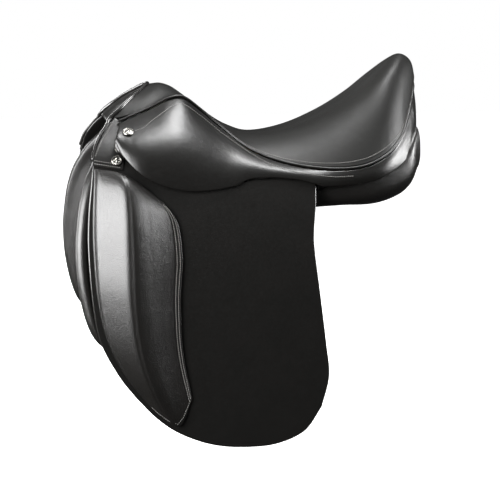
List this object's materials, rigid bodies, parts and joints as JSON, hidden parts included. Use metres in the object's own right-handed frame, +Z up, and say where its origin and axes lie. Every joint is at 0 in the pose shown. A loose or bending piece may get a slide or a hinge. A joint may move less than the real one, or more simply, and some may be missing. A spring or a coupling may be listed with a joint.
{
  "type": "english saddle",
  "caption": "Dressage saddle: deep seat on a tree with a gullet, long straight flaps that lift, knee blocks, panels, stirrup bars with catches, girth straps and dee rings.",
  "frame": {"origin": "on the centre plane, at the level of the panels' bearing surface under the deepest part of the seat", "axes": "+X rearwards to the cantle, +Y to the rider's right, +Z up"},
  "size_m": [0.5393, 0.3748, 0.5637],
  "materials": {
    "smooth_leather": "satin, dyed black, edges lacquered",
    "seat_leather": "soft satin, dyed black",
    "grained_leather": "satin with a fine pebble grain, dyed black",
    "nickel_plate": "polished, dark nickel",
    "forged_steel": "satin",
    "seat_foam": "open-cell foam, matte",
    "beech_plywood": "glued and varnished layers"
  },
  "bodies": {
    "root": {"buckle_guard_left": "smooth_leather", "buckle_guard_right": "smooth_leather", "cantle_facing": "smooth_leather", "corner_patch_left": "smooth_leather", "corner_patch_right": "smooth_leather", "dee_chape_left": "smooth_leather", "dee_chape_right": "smooth_leather", "flap_head_left": "smooth_leather", "flap_head_right": "smooth_leather", "front_roll_left": "grained_leather", "front_roll_right": "grained_leather", "gullet_plate": "forged_steel", "head_plate": "forged_steel", "panel_bridge": "smooth_leather", "panel_left": "grained_leather", "panel_right": "grained_leather", "patch_stud_left": "nickel_plate", "patch_stud_right": "nickel_plate", "pommel_facing": "smooth_leather", "saddle_tree": "beech_plywood", "seat_cover": "seat_leather", "seat_foam": "seat_foam", "seat_welt_left": "smooth_leather", "seat_welt_right": "smooth_leather", "skirt_head_left": "smooth_leather", "skirt_head_right": "smooth_leather", "skirt_stud_left": "nickel_plate", "skirt_stud_right": "nickel_plate", "stirrup_bar_left": "forged_steel", "stirrup_bar_right": "forged_steel", "sweat_flap_left": "smooth_leather", "sweat_flap_right": "smooth_leather", "tree_spring_left": "forged_steel", "tree_spring_right": "forged_steel"},
    "flap_left": {"flap_left": "smooth_leather", "knee_block_left": "grained_leather"},
    "skirt_left": {"skirt_left": "smooth_leather"},
    "front_billet_left": {"front_billet_left": "smooth_leather"},
    "rear_billet_left": {"rear_billet_left": "smooth_leather"},
    "bar_catch_left": {"bar_catch_left": "forged_steel"},
    "dee_left": {"dee_ring_left": "nickel_plate"},
    "flap_right": {"flap_right": "smooth_leather", "knee_block_right": "grained_leather"},
    "skirt_right": {"skirt_right": "smooth_leather"},
    "front_billet_right": {"front_billet_right": "smooth_leather"},
    "rear_billet_right": {"rear_billet_right": "smooth_leather"},
    "bar_catch_right": {"bar_catch_right": "forged_steel"},
    "dee_right": {"dee_ring_right": "nickel_plate"}
  },
  "joints": [
    {"name": "flap_left_lift", "type": "hinge", "parent": "root", "child": "flap_left", "pos_m": [-0.09924, -0.13619, 0.02052], "axis": [-0.9469, 0.0935, 0.3075], "range_deg": [0, 50]},
    {"name": "skirt_left_lift", "type": "hinge", "parent": "root", "child": "skirt_left", "pos_m": [-0.13, -0.1387, 0.07875], "axis": [-0.9526, 0.1095, 0.2838], "range_deg": [0, 60]},
    {"name": "front_billet_left_swing", "type": "hinge", "parent": "root", "child": "front_billet_left", "pos_m": [-0.098, -0.11993, 0.03], "axis": [0, 1, 0], "range_deg": [-4, 12]},
    {"name": "rear_billet_left_swing", "type": "hinge", "parent": "root", "child": "rear_billet_left", "pos_m": [-0.046, -0.11993, 0.03], "axis": [0, 1, 0], "range_deg": [-12, 4]},
    {"name": "bar_catch_left_turn", "type": "hinge", "parent": "root", "child": "bar_catch_left", "pos_m": [-0.09865, -0.1122, 0.06197], "axis": [0.0594, -0.8493, 0.5246], "range_deg": [0, 80]},
    {"name": "dee_left_swing", "type": "hinge", "parent": "root", "child": "dee_left", "pos_m": [-0.21375, -0.10713, 0.09857], "axis": [-0.9216, 0.1969, 0.3345], "range_deg": [0, 8]},
    {"name": "flap_right_lift", "type": "hinge", "parent": "root", "child": "flap_right", "pos_m": [-0.09924, 0.13619, 0.02052], "axis": [0.9469, 0.0935, -0.3075], "range_deg": [0, 50]},
    {"name": "skirt_right_lift", "type": "hinge", "parent": "root", "child": "skirt_right", "pos_m": [-0.13, 0.1387, 0.07875], "axis": [0.9526, 0.1095, -0.2838], "range_deg": [0, 60]},
    {"name": "front_billet_right_swing", "type": "hinge", "parent": "root", "child": "front_billet_right", "pos_m": [-0.098, 0.11993, 0.03], "axis": [0, 1, 0], "range_deg": [-4, 12]},
    {"name": "rear_billet_right_swing", "type": "hinge", "parent": "root", "child": "rear_billet_right", "pos_m": [-0.046, 0.11993, 0.03], "axis": [0, 1, 0], "range_deg": [-12, 4]},
    {"name": "bar_catch_right_turn", "type": "hinge", "parent": "root", "child": "bar_catch_right", "pos_m": [-0.09865, 0.1122, 0.06197], "axis": [-0.0594, -0.8493, -0.5246], "range_deg": [0, 80]},
    {"name": "dee_right_swing", "type": "hinge", "parent": "root", "child": "dee_right", "pos_m": [-0.21375, 0.10713, 0.09857], "axis": [0.9216, 0.1969, -0.3345], "range_deg": [0, 8]}
  ]
}
